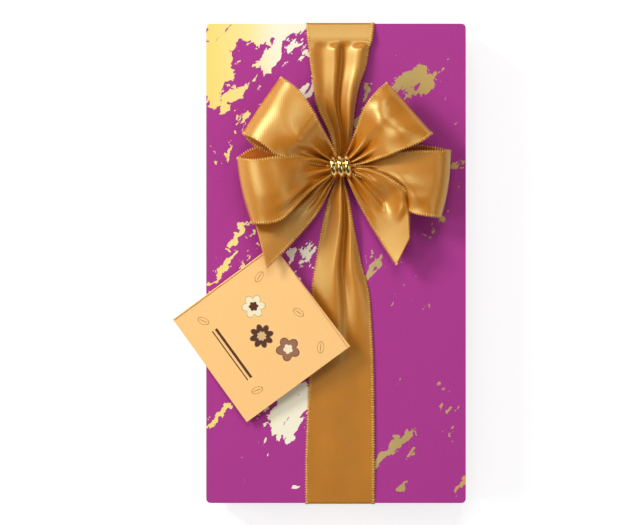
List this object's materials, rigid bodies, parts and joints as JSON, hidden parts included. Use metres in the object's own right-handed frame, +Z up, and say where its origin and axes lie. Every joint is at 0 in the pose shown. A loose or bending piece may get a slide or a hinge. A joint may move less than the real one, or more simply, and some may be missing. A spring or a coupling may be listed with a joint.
{
  "type": "ribbon-tied chocolate box",
  "caption": "Lift-off-lid gift box of chocolates: paper-covered lid with a lengthwise satin ribbon, a looped bow bound with gold wire, a folded swing tag and a cupped insert tray.",
  "frame": {"origin": "centre of the underside of the base, where the box rests", "axes": "+Z up out of the lid face, +Y along the box towards the end nearer the bow, +X across it"},
  "size_m": [0.1073, 0.1764, 0.0448],
  "materials": {
    "greyboard": "matte",
    "foil_printed_paper": "satin",
    "plain_purple_paper": "satin",
    "gold_tray_film": "gloss",
    "cushion_paper": "matte",
    "satin_ribbon": "satin",
    "gold_wire": "polished",
    "tag_card": "matte",
    "dark_chocolate": "satin",
    "milk_chocolate": "satin",
    "white_chocolate": "satin"
  },
  "bodies": {
    "base": {"base_board": "greyboard", "base_cover_paper": "plain_purple_paper", "base_bottom_sheet": "plain_purple_paper", "insert_tray": "gold_tray_film", "praline_bar_15": "milk_chocolate", "praline_bar_23": "milk_chocolate", "praline_bar_31": "milk_chocolate", "praline_button_16": "milk_chocolate", "praline_button_24": "milk_chocolate", "praline_button_32": "milk_chocolate", "praline_dome_11": "dark_chocolate", "praline_dome_25": "dark_chocolate", "praline_dome_33": "dark_chocolate", "praline_heart_14": "milk_chocolate", "praline_heart_22": "milk_chocolate", "praline_heart_36": "milk_chocolate", "praline_pyramid_12": "white_chocolate", "praline_pyramid_26": "white_chocolate", "praline_pyramid_34": "white_chocolate", "praline_truffle_13": "dark_chocolate", "praline_truffle_21": "dark_chocolate", "praline_truffle_35": "dark_chocolate"},
    "lid": {"bow_middle": "satin_ribbon", "bow_tie": "gold_wire", "cushion_pad": "cushion_paper", "lid_board": "greyboard", "lid_cover_paper": "foil_printed_paper", "loop_left": "satin_ribbon", "loop_right": "satin_ribbon", "loop_upper_left": "satin_ribbon", "loop_upper_right": "satin_ribbon", "ribbon_band": "satin_ribbon", "tail_left": "satin_ribbon", "tail_right": "satin_ribbon"},
    "tag_back": {"tag_back_leaf": "tag_card"},
    "tag_cover": {"tag_front_leaf": "tag_card"}
  },
  "joints": [
    {"name": "lid_lift", "type": "slide", "parent": "base", "child": "lid", "axis": [0, 0, 1], "range_m": [0, 0.08]},
    {"name": "tag_swing", "type": "hinge", "parent": "lid", "child": "tag_back", "pos_m": [-0.02354, 0.00251, 0.03048], "axis": [-0.1191, 0, 0.9929], "range_deg": [-20, 15]},
    {"name": "tag_open", "type": "hinge", "parent": "tag_back", "child": "tag_cover", "pos_m": [-0.02265, 0.0063, 0.03103], "axis": [-0.8012, -0.5906, -0.0961], "range_deg": [0, 30]}
  ]
}
